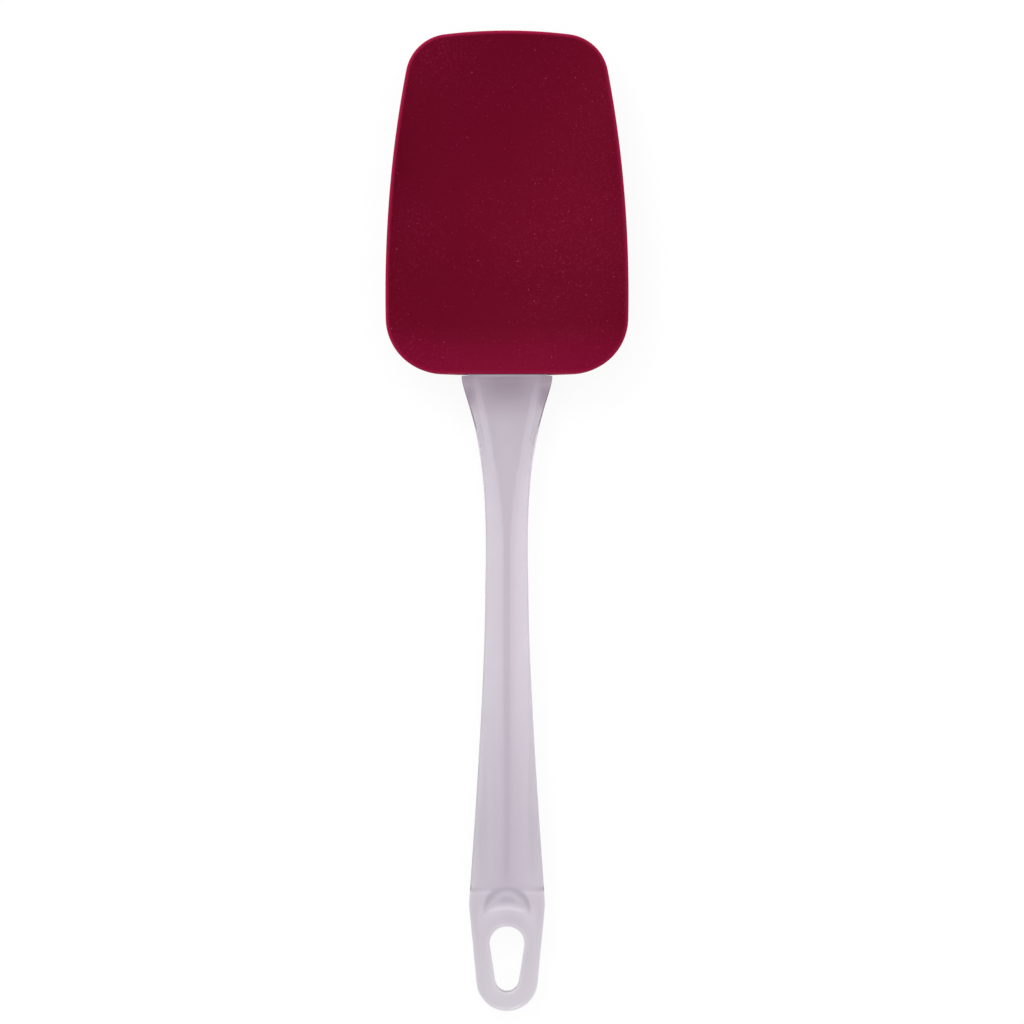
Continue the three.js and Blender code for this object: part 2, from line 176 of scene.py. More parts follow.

# Silicone: crimson, with painted shade in the hollow of the bowl, painted light at the root and a painted
# glow at the thin rim
SILICONE_DEEP = (0.109, 0.0002, 0.0105, 1)
SILICONE_FULL = (0.146, 0.0008, 0.0185, 1)
# Painted glow of the thin rim, as if light came through the thin silicone
SILICONE_PAINTED_GLOW = (0.29, 0.005, 0.04, 1)
# Painted shade in the hollow of the bowl and painted light up the wall at its root, as ramps along the head
HOLLOW_SHADE_ALONG = (0.085, 0.06, 0, -0.35)
ROOT_LIGHT_ALONG = (0.057, 0.0412, 0, 1.1)
SILICONE_ROUGHNESS = (0.3, 0.7, 0.58, 0.66)
SILICONE_SMEAR_SCALE = 300
SILICONE_SMEAR_DETAIL = 3
SILICONE_SPECULAR = 0.04
SHEEN_WEIGHT = 0.06
SHEEN_ROUGHNESS = 0.3
SHEEN_TINT = (0.9, 0.12, 0.28, 1)
GRAIN_SCALE = 2600
GRAIN_DETAIL = 3
GRAIN_STRENGTH = 0.1
GRAIN_DEPTH = 0.0001

# Dust on the silicone: powder and specks, thickest in loose drifts. Each layer of specks has its number of
# cells to a metre, the radius of a speck and the share of cells that hold one in a drift.
DUST_COLOUR = (0.38, 0.035, 0.12, 1)
DRIFT_SCALE = 28
DRIFT_DETAIL = 5
DRIFT_SHIFT = (0.6667, 2.0753, 0.3)
DRIFT_RANGE = (0.36, 0.64)
DRIFT_HAZE = 0.5
BETWEEN_DRIFTS = 0.25
POWDER_SCALE = 1500
POWDER_DETAIL = 2
POWDER_RANGE = (0.5, 0.7)
POWDER_SHARE = 0.07
SPECK_LAYERS = ((650, 0.0002, 0.4), (1700, 0.00011, 0.6))

# Plastic: clear with a breath of lilac, and faint flow lines along the handle
PLASTIC_DEEP = (0.985, 0.965, 0.99, 1)
PLASTIC_FULL = (0.995, 0.98, 1.0, 1)
PLASTIC_INSIDE = (0.38, 0.08, 0.46, 1)
PLASTIC_DENSITY = 22
PLASTIC_IOR = 1.55
PLASTIC_ROUGHNESS = (0.3, 0.7, 0.04, 0.09)
PLASTIC_SMEAR_SCALE = 240
PLASTIC_SMEAR_DETAIL = 4
CLOUD_SCALE = 90
CLOUD_DETAIL = 3
FLOW_STRETCH = (900, 14, 900)
FLOW_DETAIL = 3
FLOW_STRENGTH = 0.15
FLOW_DEPTH = 0.0002

# Painted shade on the plastic: tints, with the places between which each of them comes or goes
# Painted shade over the handle, but not on the loop's ring round the hole nor on the wings beside the dome
BODY_SHADE_TINT = (0.95, 0.95, 0.95, 1)
BODY_SHADE_FROM_HOLE = (0.0098, 0.0118)
BODY_EDGE = 0.0005
# Further painted shade along the wide end of the grip
GRIP_SHADE_TINT = (0.93, 0.93, 0.935, 1)
GRIP_SHADE_ALONG = (-0.03, -0.085)
# Painted shade on the round patch of the loop's ramp
DOME_SHADE_TINT = (0.88, 0.88, 0.89, 1)
# Painted shadow of the head over the top of the neck, reddened as a painted reflection of the crimson; it
# stops just short of the shoulder
NECK_SHADOW_TINT = (0.76, 0.66, 0.73, 1)
NECK_SHADOW_START = (0.0255, 0.0405)
NECK_SHADOW_STOP = (0.0391, 0.0393)
NECK_SHADOW_ACROSS = (0.002, 0.0065, 0.85, 0.55)
# Painted shade, reddened like a painted reflection of the head, at the top corners of the neck
CORNER_SHADE_TINT = (0.72, 0.61, 0.71, 1)
CORNER_SHADE_START = (0.0285, 0.0335)
CORNER_SHADE_STOP = (0.0345, 0.038, 0, 0.6)
CORNER_SHADE_ACROSS = (0.0066, 0.0102)

# Light and floor: a sky that is brightest in a ring round the camera, a key lamp beyond the tip of the head
# and a weak strip lamp behind the loop
WHITE = (1, 1, 1, 1)
SKY_LEVEL = 0.74
SKY_RING_LEVEL = 0.7
SKY_RING = (0.2, 0.6)
SKY_TOP_SHADE = 0.85
SKY_TOP = (0.7, 0.96)
SKY_CAMERA_SHADE = 0.5
SKY_CAMERA = (0.9934, 0.9943)
SKY_LEAN = (-0.15, 0.5, 0)
FLOOR_SPAN = 6
FLOOR_DROP = 0.0001
FLOOR_COLOUR = (0.93, 0.93, 0.93, 1)
FLOOR_GLOW = 0.9
FLOOR_GLOW_THROUGH = 0.36
KEY_PLACE = Vector((-0.5, 0.85, 0.7))
KEY_SPANS = (0.6, 0.6)
KEY_POWER = 4
STRIP_PLACE = Vector((0, -0.8, 0.75))
STRIP_SPANS = (1.2, 0.2)
STRIP_POWER = 1.2


def lerp(start, end, share):
    return start + (end - start) * share


def clamp(value, low, high):
    return min(max(value, low), high)


def smoothstep(value, low, high):
    share = clamp((value - low) / (high - low), 0, 1)
    return share * share * (3 - 2 * share)


def soft_min(first, second, blend):
    """The lower of two heights, with a soft blend where they cross"""
    overlap = max(blend - abs(first - second), 0) / blend
    return min(first, second) - overlap * overlap * blend / 4


def soft_max(first, second, blend):
    return -soft_min(-first, -second, blend)


def steps_along(length, pitch):
    return max(math.ceil(length / pitch), 2)


def round_turns():
    """Angles over a quarter round"""
    return [math.pi / 2 * step / ROUND_STEPS for step in range(ROUND_STEPS + 1)]


# Meshes

def skin(name, rings, shares=None):
    """Closed skin through rings of equal length, with a fan of faces over each end. A share for each ring
    can be kept on its points, to tell a material where to paint the glow of the thin rim."""
    count = len(rings[0])
    points = [point for ring in rings for point in ring]
    faces = []
    for row in range(len(rings) - 1):
        near = row * count
        far = near + count
        for column in range(count):
            following = (column + 1) % count
            faces.append((near + column, near + following, far + following, far + column))
    last_row = (len(rings) - 1) * count
    first_middle = len(points)
    points.append(sum(rings[0], Vector()) / count)
    points.append(sum(rings[-1], Vector()) / count)
    for column in range(count):
        following = (column + 1) % count
        faces.append((first_middle, following, column))
        faces.append((first_middle + 1, last_row + column, last_row + following))
    mesh = bpy.data.meshes.new(name)
    mesh.from_pydata([point * MM for point in points], [], faces)
    if shares:
        kept = mesh.attributes.new(RIM_GLOW_ATTRIBUTE, "FLOAT", "POINT")
        kept.data.foreach_set("value", [share for share in shares for _ in range(count)] + [0, 0])
    piece = bpy.data.objects.new(name, mesh)
    bpy.context.collection.objects.link(piece)
    return piece


def cut(piece, cutter):
    """Cuts one piece with another, which is then thrown away"""
    boolean = piece.modifiers.new("cut", "BOOLEAN")
    boolean.operation = "DIFFERENCE"
    boolean.solver = "EXACT"
    boolean.object = cutter
    evaluated = piece.evaluated_get(bpy.context.evaluated_depsgraph_get())
    whole = piece.data
    piece.data = bpy.data.meshes.new_from_object(evaluated)
    piece.data.name = piece.name
    piece.modifiers.clear()
    bpy.data.meshes.remove(whole)
    bpy.data.objects.remove(cutter, do_unlink=True)


def finish_piece(piece, material, node, body):
    """Smooths a piece between its sharp edges, dresses it, ties it to its body and hides its CAD node"""
    piece.data.shade_smooth()
    piece.data.set_sharp_from_angle(angle=SHARP_ANGLE)
    piece.data.materials.clear()
    piece.data.materials.append(material)
    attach(piece, body)
    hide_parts(node)


# Head

def arc(centre, radius, start, end):
    """Points along an arc without its last one, each with the direction that faces out of the head there"""
    steps = steps_along(radius * abs(end - start), HEAD_PITCH)
    turns = [lerp(start, end, step / steps) for step in range(steps)]
    outwards = [Vector((math.cos(turn), math.sin(turn))) for turn in turns]
    return [(centre + radius * outward, outward) for outward in outwards]


def meeting_point(first, first_distance, second, second_distance):
    """Point at two given distances from two centres, on the right of the line between them"""
    span = (second - first).length
    along = (second - first) / span
    reach = (first_distance**2 - second_distance**2 + span**2) / (2 * span)
    offset = math.sqrt(first_distance**2 - reach**2)
    return first + along * reach + Vector((along.y, -along.x)) * offset


def turn_of(direction):
    return math.atan2(direction.y, direction.x)


def head_outline():
    """Outline of the head from above, anticlockwise from the middle of its root, which lies on y = 0"""
    side = Vector((HEAD_WIDTH / 2 - SIDE_RADIUS, WIDEST_FROM_ROOT))
    crown = Vector((0, HEAD_LENGTH - TIP_CROWN_RADIUS))
    root_reach = math.sqrt((SIDE_RADIUS - ROOT_CORNER_RADIUS) ** 2 - (ROOT_CORNER_RADIUS - side.y) ** 2)
    root = Vector((side.x + root_reach, ROOT_CORNER_RADIUS))
    tip = meeting_point(crown, TIP_CROWN_RADIUS - TIP_CORNER_RADIUS, side, SIDE_RADIUS - TIP_CORNER_RADIUS)
    side_start = turn_of(root - side)
    side_end = turn_of(tip - side)
    crown_start = turn_of(tip - crown)
    root_steps = steps_along(root.x, HEAD_PITCH)
    right = [(Vector((root.x * step / root_steps, 0)), Vector((0, -1))) for step in range(root_steps)]
    right += arc(root, ROOT_CORNER_RADIUS, -math.pi / 2, side_start)
    right += arc(side, SIDE_RADIUS, side_start, side_end)
    right += arc(tip, TIP_CORNER_RADIUS, side_end, crown_start)
    right += arc(crown, TIP_CROWN_RADIUS, crown_start, math.pi / 2)
    right.append((Vector((0, HEAD_LENGTH)), Vector((0, 1))))
    flip = Vector((-1, 1))
    left = [(point * flip, outward * flip) for point, outward in reversed(right[1:-1])]
    return right + left


def rim_height(from_root):
    return lerp(SIDE_RIM_HEIGHT, TIP_RIM_HEIGHT, smoothstep(from_root, BOWL_CENTRE_FROM_ROOT, HEAD_LENGTH))


def tongue_thickness(from_root):
    return lerp(TONGUE_THICKNESS, TONGUE_TIP_THICKNESS, from_root / TONGUE_LENGTH)


def beyond_pocket(place, margin):
    """How far a place on the head lies outside the grown pocket, counted less towards the tip"""
    across = max(abs(place.x) - POCKET_HALF - margin, 0)
    along = max(place.y - POCKET_LENGTH - margin, 0)
    return math.hypot(across, along / SOCKET_NOSE_STRETCH)


def up_wall(place, spread):
    """How far up the bowl's wall a place lies: oval near the middle, square like the outline near the rim"""
    along = place.y - BOWL_CENTRE_FROM_ROOT
    reach = HEAD_LENGTH - BOWL_CENTRE_FROM_ROOT if along > 0 else BOWL_CENTRE_FROM_ROOT
    oval = math.hypot(place.x / (HEAD_WIDTH / 2), along / reach)
    return lerp(oval, spread, spread**BOWL_SQUARENESS)


def bowl_height(place, spread, rim):
    dish = lerp(BOWL_FLOOR_HEIGHT, rim, up_wall(place, spread) ** BOWL_STEEPNESS)
    pocket_top = TONGUE_LEVEL + tongue_thickness(min(place.y, TONGUE_LENGTH)) / 2 + FIT_GAP
    cover = pocket_top + SOCKET_COVER - SOCKET_SLOPE * beyond_pocket(place, 0)
    return soft_max(dish, cover, SOCKET_COVER)


def back_height(place, bowl):
    socket = SOCKET_SLOPE * beyond_pocket(place, SOCKET_WALL)
    return max(soft_min(bowl - HEAD_WALL, socket, SOCKET_BLEND), 0)


def spreads(steps):
    """Shares of the way from the middle of the bowl to its rim, closer together near the rim"""
    return [math.sin(math.pi / 2 * step / steps) for step in range(1, steps)]


def head_column(point, outward):
    """Points of the head over one place of its outline: up its back, over the rim and down into the bowl"""
    middle = Vector((0, BOWL_CENTRE_FROM_ROOT))
    inner = point - outward * RIM_ROUND
    rim = rim_height(point.y)

    def lift(place, height):
        return Vector((place.x, ROOT_Y + place.y, height))

    def bowl_point(spread):
        place = middle.lerp(inner, spread)
        return lift(place, bowl_height(place, spread, rim))

    def back_point(spread):
        place = middle.lerp(inner, spread)
        return lift(place, back_height(place, bowl_height(place, spread, rim)))

    def round_point(edge, rise, turn):
        place = point - outward * RIM_ROUND * (1 - math.sin(turn))
        return lift(place, edge.z + rise * (1 - math.cos(turn)))

    back_edge = back_point(1)
    bowl_edge = bowl_point(1)
    rise = min(RIM_ROUND, (bowl_edge.z - back_edge.z) / 2)
    column = [back_point(spread) for spread in spreads(BACK_STEPS)]
    column += [round_point(back_edge, rise, turn) for turn in round_turns()]
    column += [round_point(bowl_edge, -rise, turn) for turn in reversed(round_turns())]
    column += [bowl_point(spread) for spread in reversed(spreads(BOWL_STEPS))]
    return column


def rim_glow_shares():
    """How near the outline each ring of the head is: 1 on it and 0 beyond the thin rim, for the painted glow
    there
    """
    def share(inset):
        return 1 - smoothstep(inset, 0, RIM_GLOW)

    def face(steps):
        return [share(RIM_ROUND + (1 - spread) * HEAD_WIDTH / 2) for spread in spreads(steps)]

    edge = [share(RIM_ROUND * (1 - math.sin(turn))) for turn in round_turns()]
    return face(BACK_STEPS) + edge + edge[::-1] + face(BOWL_STEPS)[::-1]


def silicone_head():
    columns = [head_column(point, outward) for point, outward in head_outline()]
    head = skin("silicone_head_skin", list(zip(*columns)), rim_glow_shares())
    cut(head, skin("pocket", tongue_rings(FIT_GAP, -CUT_MARGIN)))
    return head


# Handle

def columns_across(half, land, rounding):
    """Places across a section from its right side to its left, closest at the edges and at the land"""
    inner = half - min(rounding, half / 2)
    crease = min(CREASE_ROUND, land / 2)
    crest = min(land, inner / 2)
    right = [lerp(inner, half, math.cos(turn)) for turn in round_turns()]
    right += [lerp(inner, crest + crease, step / FLANK_STEPS) for step in range(1, FLANK_STEPS + 1)]
    right += [crest + crease - 2 * crease * step / CREASE_STEPS for step in range(1, CREASE_STEPS + 1)]
    right += [(crest - crease) * (1 - step / LAND_STEPS) for step in range(1, LAND_STEPS)]
    return right + [0] + [-x for x in reversed(right)]


def edge_drop(from_side, rounding):
    """How far a rounded edge has dropped from its face, at a distance in from the side"""
    short = max(rounding - max(from_side, 0), 0)
    return rounding - math.sqrt(rounding**2 - short**2)


def section_ring(y, half, land, rounding, front, back, from_side):
    """One ring across the handle, from its front face over to its back"""
    across = columns_across(half, land, rounding)
    over = [Vector((x, y, front(x) - edge_drop(from_side(x), rounding))) for x in across]
    under = [Vector((x, y, back(x) + edge_drop(from_side(x), rounding))) for x in reversed(across)]
    return over + under


def tongue_ring(from_root, gap):
    """Ring of the tongue at a distance from the head's root, grown by a gap when it cuts the pocket"""
    reach = from_root - gap
    corner_reach = max(reach - TONGUE_LENGTH + TONGUE_CORNER_RADIUS, 0)
    corner_cut = edge_drop(TONGUE_CORNER_RADIUS - corner_reach, TONGUE_CORNER_RADIUS)
    half = TONGUE_WIDTH / 2 - TONGUE_SIDE_TAPER * reach / TONGUE_LENGTH - corner_cut + gap
    half_thickness = tongue_thickness(reach) / 2 + gap
    return section_ring(
        ROOT_Y + from_root,
        half,
        half / 2,
        TONGUE_EDGE_ROUND,
        lambda x: TONGUE_LEVEL + half_thickness,
        lambda x: TONGUE_LEVEL - half_thickness,
        lambda x: half - abs(x),
    )


def tongue_rings(gap, end_from_root):
    """Rings of the tongue from its rounded tip to a place at or below the head's root"""
    rings = []
    for turn in reversed(round_turns()):
        reach = TONGUE_LENGTH - TONGUE_CORNER_RADIUS * (1 - math.sin(turn))
        rings.append(tongue_ring(reach + gap, gap))
    rings.append(tongue_ring(end_from_root, gap))
    return rings


def bezier(start, start_pull, end_pull, end):
    """Points along a cubic curve without its first one"""
    steps = steps_along((end - start).length, ROW_PITCH)
    points = []
    for step in range(1, steps + 1):
        share = step / steps
        rest = 1 - share
        weights = (rest**3, 3 * share * rest**2, 3 * share**2 * rest, share**3)
        pulls = (start, start_pull, end_pull, end)
        points.append(sum((weight * pull for weight, pull in zip(weights, pulls)), Vector((0, 0))))
    return points


def handle_side():
    """Right side of the handle from above: flared neck, slim waist, widening grip and round-ended loop"""
    shoulder = Vector((SHOULDER_WIDTH / 2, SHOULDER_Y - SHOULDER_ROUND))
    waist = Vector((WAIST_WIDTH / 2, WAIST_Y))
    grip_end = Vector((GRIP_WIDTH / 2, GRIP_END_Y))
    loop_end = Vector((0, LOOP_END_MIDDLE_Y))
    neck_stop = waist + Vector((-NECK_END_PULL.x, NECK_END_PULL.y))
    grip_stop = grip_end + Vector((-GRIP_END_PULL.x, GRIP_END_PULL.y))
    to_grip = grip_end - loop_end
    tangent_turn = turn_of(to_grip) - math.acos(LOOP_END_RADIUS / to_grip.length)
    tangent = loop_end + LOOP_END_RADIUS * Vector((math.cos(tangent_turn), math.sin(tangent_turn)))
    side = [shoulder]
    side += bezier(shoulder, shoulder - NECK_START_PULL, neck_stop, waist)
    side += bezier(waist, waist - Vector((0, GRIP_START_PULL)), grip_stop, grip_end)
    side += bezier(grip_end, grip_end.lerp(tangent, 1 / 3), grip_end.lerp(tangent, 2 / 3), tangent)
    end_steps = steps_along(LOOP_END_RADIUS * (tangent_turn - LOOP_END_TURN), ROW_PITCH)
    for step in range(1, end_steps + 1):
        turn = lerp(tangent_turn, LOOP_END_TURN, step / end_steps)
        side.append(loop_end + LOOP_END_RADIUS * Vector((math.cos(turn), math.sin(turn))))
    return side


def up_neck(y):
    """How far up the neck a place lies, from where its V-shaped facet starts"""
    return clamp((y - SHOULDER_Y + NECK_FACET_LENGTH) / NECK_FACET_LENGTH, 0, 1)


def land_half(y):
    """Half width of the flat land: narrow along the grip, opening in a V up the neck"""
    return lerp(LAND_WIDTH, NECK_FACET_WIDTH, up_neck(y) ** NECK_FACET_CURVE) / 2


def down_bevel(x, y, half):
    """How far down its bevel a place lies: 0 on the land and 1 at the side, with a rounded crease between"""
    land = land_half(y)
    beside = soft_max(abs(x) - land, 0, 2 * CREASE_ROUND)
    return min(beside / max(half - land, EDGE_ROUND), 1)


def bead(height, width, from_middle):
    """Height of a low round bead at a distance from its middle"""
    share = 2 * from_middle / width
    return height * max(1 - share * share, 0) ** 2


def loop_height(y):
    """Front of the hanging loop, which gets thinner to its end"""
    along_loop = clamp((GRIP_END_Y - y) / (GRIP_END_Y - LOOP_END_Y), 0, 1)
    return lerp(LOOP_THICKNESS, LOOP_END_THICKNESS, along_loop)


def from_loop(x, y):
    """Distance of a place from the flat of the loop, which lies round the top of the hanging hole"""
    return math.hypot(x, max(y - HOLE_BROAD_Y, 0)) - HOLE_BROAD_RADIUS - LOOP_MARGIN


def front_height(x, y, half):
    """Front of the handle: the grip's roof, dished away by a cone round the top of the hanging hole"""
    along_handle = (SHOULDER_Y - y) / (SHOULDER_Y - GRIP_END_Y)
    ridge = lerp(SHOULDER_TOP, GRIP_THICKNESS, along_handle)
    shoulder_bead = bead(SHOULDER_BEAD, SHOULDER_BEAD_LENGTH, y - SHOULDER_Y + SHOULDER_BEAD_LENGTH / 2)
    roof = ridge - FRONT_FALL * down_bevel(x, y, half) + shoulder_bead
    cone = loop_height(y) + LOOP_RAMP * soft_max(from_loop(x, y), 0, LOOP_FOOT_BLEND)
    return soft_min(roof, cone, LOOP_BLEND)


def back_of_handle(x, y, half):
    """Back of the handle: shallow bevels that end in a short step, then flat to the end of the loop"""
    keel = lerp(0, SHOULDER_BOTTOM, clamp((y - WAIST_Y) / NECK_LENGTH, 0, 1))
    bevelled = smoothstep(y, BACK_STEP_Y - BACK_STEP_LENGTH / 2, BACK_STEP_Y + BACK_STEP_LENGTH / 2)
    return keel + BACK_RISE * bevelled * down_bevel(x, y, half)


def from_axis(x, y):
    """Distance from the handle's axis, which ends at the middle of the loop's round end"""
    return math.hypot(x, min(y - LOOP_END_MIDDLE_Y, 0))


def handle_ring(side, inset, advance):
    """Ring of the handle at a place on its side, pulled in and moved up where the shoulder is rounded"""
    reach = side.x if side.y > LOOP_END_MIDDLE_Y else LOOP_END_RADIUS
    return section_ring(
        side.y + advance,
        side.x - inset,
        land_half(side.y),
        lerp(EDGE_ROUND, NECK_ROUND, up_neck(side.y) ** NECK_ROUND_CURVE),
        lambda x: front_height(x, side.y, side.x) - inset,
        lambda x: back_of_handle(x, side.y, side.x) + inset,
        lambda x: reach - inset - from_axis(x, side.y),
    )


def handle_rings():
    """Rings of the whole handle: tongue, rounded shoulder, then down to the end of the loop"""
    side = handle_side()
    rings = tongue_rings(0, -FIT_GAP)
    for turn in reversed(round_turns()[1:]):
        inset = SHOULDER_ROUND * (1 - math.cos(turn))
        advance = SHOULDER_ROUND * math.sin(turn)
        rings.append(handle_ring(side[0], inset, advance))
    rings += [handle_ring(place, 0, 0) for place in side]
    return rings


def egg_ring(growth, height_at):
    """Egg-shaped outline of the hanging hole, broad towards the grip, grown and set at a height"""
    lean = math.asin((HOLE_NARROW_RADIUS - HOLE_BROAD_RADIUS) / HOLE_SPAN)
    stretches = (
        (HOLE_BROAD_Y, HOLE_BROAD_RADIUS + growth, lean, math.pi - lean),
        (HOLE_NARROW_Y, HOLE_NARROW_RADIUS + growth, math.pi - lean, 2 * math.pi + lean),
    )
    ring = []
    for middle, radius, start, end in stretches:
        for step in range(HOLE_STEPS + 1):
            turn = lerp(start, end, step / HOLE_STEPS)
            y = middle + radius * math.sin(turn)
            ring.append(Vector((radius * math.cos(turn), y, height_at(y))))
    return ring


def hanging_hole():
    """Cutter of the hole, flared at both faces of the loop so that it leaves a rounded rim"""
    turns = [HOLE_FLARE * step / ROUND_STEPS for step in range(ROUND_STEPS + 1)]
    flares = [(HOLE_ROUND * (1 - math.cos(turn)), HOLE_ROUND * (1 - math.sin(turn))) for turn in turns]
    growth, depth = flares[-1]
    flares.append((growth + CUT_MARGIN * math.sin(HOLE_FLARE), depth - CUT_MARGIN * math.cos(HOLE_FLARE)))
    rings = [egg_ring(growth, lambda y, depth=depth: depth) for growth, depth in reversed(flares)]
    rings += [egg_ring(growth, lambda y, depth=depth: loop_height(y) - depth) for growth, depth in flares]
    return rings


def clear_handle():
    handle = skin("clear_handle_skin", handle_rings())
    cut(handle, skin("hole", hanging_hole()))
    return handle


# Materials

def add(tree, kind, inputs=None, **settings):
    """Adds a node. An input given as a socket is linked, any other value is set on the node's own socket."""
    made = tree.nodes.new(kind)
    for setting, value in settings.items():
        setattr(made, setting, value)
    for name, value in (inputs or {}).items():
        if isinstance(value, bpy.types.NodeSocket):
            tree.links.new(value, made.inputs[name])
        else:
            made.inputs[name].default_value = value
    return made


def blank_material(name):
    material = bpy.data.materials.new(name)
    material.use_nodes = True
    material.node_tree.nodes.clear()
    return material, material.node_tree


def noise(tree, place, scale, detail):
    inputs = {"Vector": place, "Scale": scale, "Detail": detail}
    return add(tree, "ShaderNodeTexNoise", inputs).outputs["Fac"]


def bumps(tree, height, strength, depth):
    """Normals of a surface with fine bumps"""
    inputs = {"Height": height, "Strength": strength, "Distance": depth}
    return add(tree, "ShaderNodeBump", inputs).outputs["Normal"]


def ramp(tree, value, low, high, start=0.0, end=1.0):
    """A value's share of the way from low to high, mapped to a range"""
    inputs = {"Value": value, "From Min": low, "From Max": high, "To Min": start, "To Max": end}
    return add(tree, "ShaderNodeMapRange", inputs, interpolation_type="SMOOTHSTEP").outputs["Result"]


def maths(tree, operation, *values):
    made = add(tree, "ShaderNodeMath", operation=operation)
    for socket, value in zip(made.inputs, values):
        if isinstance(value, bpy.types.NodeSocket):
            tree.links.new(value, socket)
        else:
            socket.default_value = value
    return made.outputs[0]


def mix_colours(tree, share, first, second, blend="MIX"):
    inputs = {"Fac": share, "Color1": first, "Color2": second}
    return add(tree, "ShaderNodeMixRGB", inputs, blend_type=blend).outputs["Color"]


def specks(tree, place, drift, scale, radius, share):
    """Mask of small round specks, one to a cell at most, gathered in loose drifts"""
    cells = add(tree, "ShaderNodeTexVoronoi", {"Vector": place, "Scale": scale})
    dot = ramp(tree, cells.outputs["Distance"], radius * scale / 2, radius * scale, 1, 0)
    chance = add(tree, "ShaderNodeSeparateColor", {"Color": cells.outputs["Color"]})
    bare = ramp(tree, drift, *DRIFT_RANGE, 1 - share * BETWEEN_DRIFTS, 1 - share)
    chosen = maths(tree, "GREATER_THAN", chance.outputs["Red"], bare)
    return maths(tree, "MULTIPLY", dot, maths(tree, "MULTIPLY", chosen, chance.outputs["Green"]))


def silicone_colour(tree, place):
    """Crimson with painted shade in the hollow of the bowl, painted light at its root and a painted glow at
    the thin rim, under powder and specks of dust
    """
    rim = add(tree, "ShaderNodeAttribute", attribute_name=RIM_GLOW_ATTRIBUTE).outputs["Fac"]
    along = add(tree, "ShaderNodeSeparateXYZ", {"Vector": place}).outputs["Y"]
    shifted = add(tree, "ShaderNodeMapping", {"Vector": place, "Location": DRIFT_SHIFT}).outputs["Vector"]
    drift = noise(tree, shifted, DRIFT_SCALE, DRIFT_DETAIL)
    # The dust's drifts vary the crimson, and painted shade in the hollow and painted light at the root are
    # added to them
    drift_and_painted_light = maths(tree, "MULTIPLY_ADD", drift, DRIFT_HAZE, ramp(tree, along, *HOLLOW_SHADE_ALONG))
    drift_and_painted_light = maths(tree, "ADD", drift_and_painted_light, ramp(tree, along, *ROOT_LIGHT_ALONG))
    colour = mix_colours(tree, drift_and_painted_light, SILICONE_DEEP, SILICONE_FULL)
    # Painted glow at the thin rim, as if light came through the thin silicone
    colour = mix_colours(tree, rim, colour, SILICONE_PAINTED_GLOW)
    clouds = ramp(tree, drift, *DRIFT_RANGE, POWDER_SHARE * BETWEEN_DRIFTS, POWDER_SHARE)
    powder = ramp(tree, noise(tree, place, POWDER_SCALE, POWDER_DETAIL), *POWDER_RANGE)
    colour = mix_colours(tree, maths(tree, "MULTIPLY", clouds, powder), colour, DUST_COLOUR)
    for layer in SPECK_LAYERS:
        colour = mix_colours(tree, specks(tree, place, drift, *layer), colour, DUST_COLOUR)
    return colour


def silicone_material():
    material, tree = blank_material("matte_silicone")
    place = add(tree, "ShaderNodeTexCoord").outputs["Object"]
    smear = noise(tree, place, SILICONE_SMEAR_SCALE, SILICONE_SMEAR_DETAIL)
    grain = noise(tree, place, GRAIN_SCALE, GRAIN_DETAIL)
    surface = add(tree, "ShaderNodeBsdfPrincipled", {
        "Base Color": silicone_colour(tree, place),
        "Roughness": ramp(tree, smear, *SILICONE_ROUGHNESS),
        "Normal": bumps(tree, grain, GRAIN_STRENGTH, GRAIN_DEPTH),
        "Specular IOR Level": SILICONE_SPECULAR,
        "Sheen Weight": SHEEN_WEIGHT,
        "Sheen Roughness": SHEEN_ROUGHNESS,
        "Sheen Tint": SHEEN_TINT,
    })
    add(tree, "ShaderNodeOutputMaterial", {"Surface": surface.outputs["BSDF"]})
    return material


def distance_from(tree, across, along, middle):
    """Distance from a place on the handle's axis, counted only sideways below it"""
    above = maths(tree, "MAXIMUM", maths(tree, "SUBTRACT", along, middle), 0)
    reach = add(tree, "ShaderNodeCombineXYZ", {"X": across, "Y": above}).outputs["Vector"]
    return add(tree, "ShaderNodeVectorMath", {0: reach}, operation="LENGTH").outputs["Value"]


def edge_at(place):
    """A short range on both sides of a place given in millimetres"""
    return place * MM - BODY_EDGE, place * MM + BODY_EDGE


def stretch(tree, along, start, stop, sideways):
    """Mask of a stretch of the handle, between its start and its stop, that also changes sideways"""
    between = maths(tree, "SUBTRACT", ramp(tree, along, *start), ramp(tree, along, *stop))
    return maths(tree, "MULTIPLY", between, sideways)


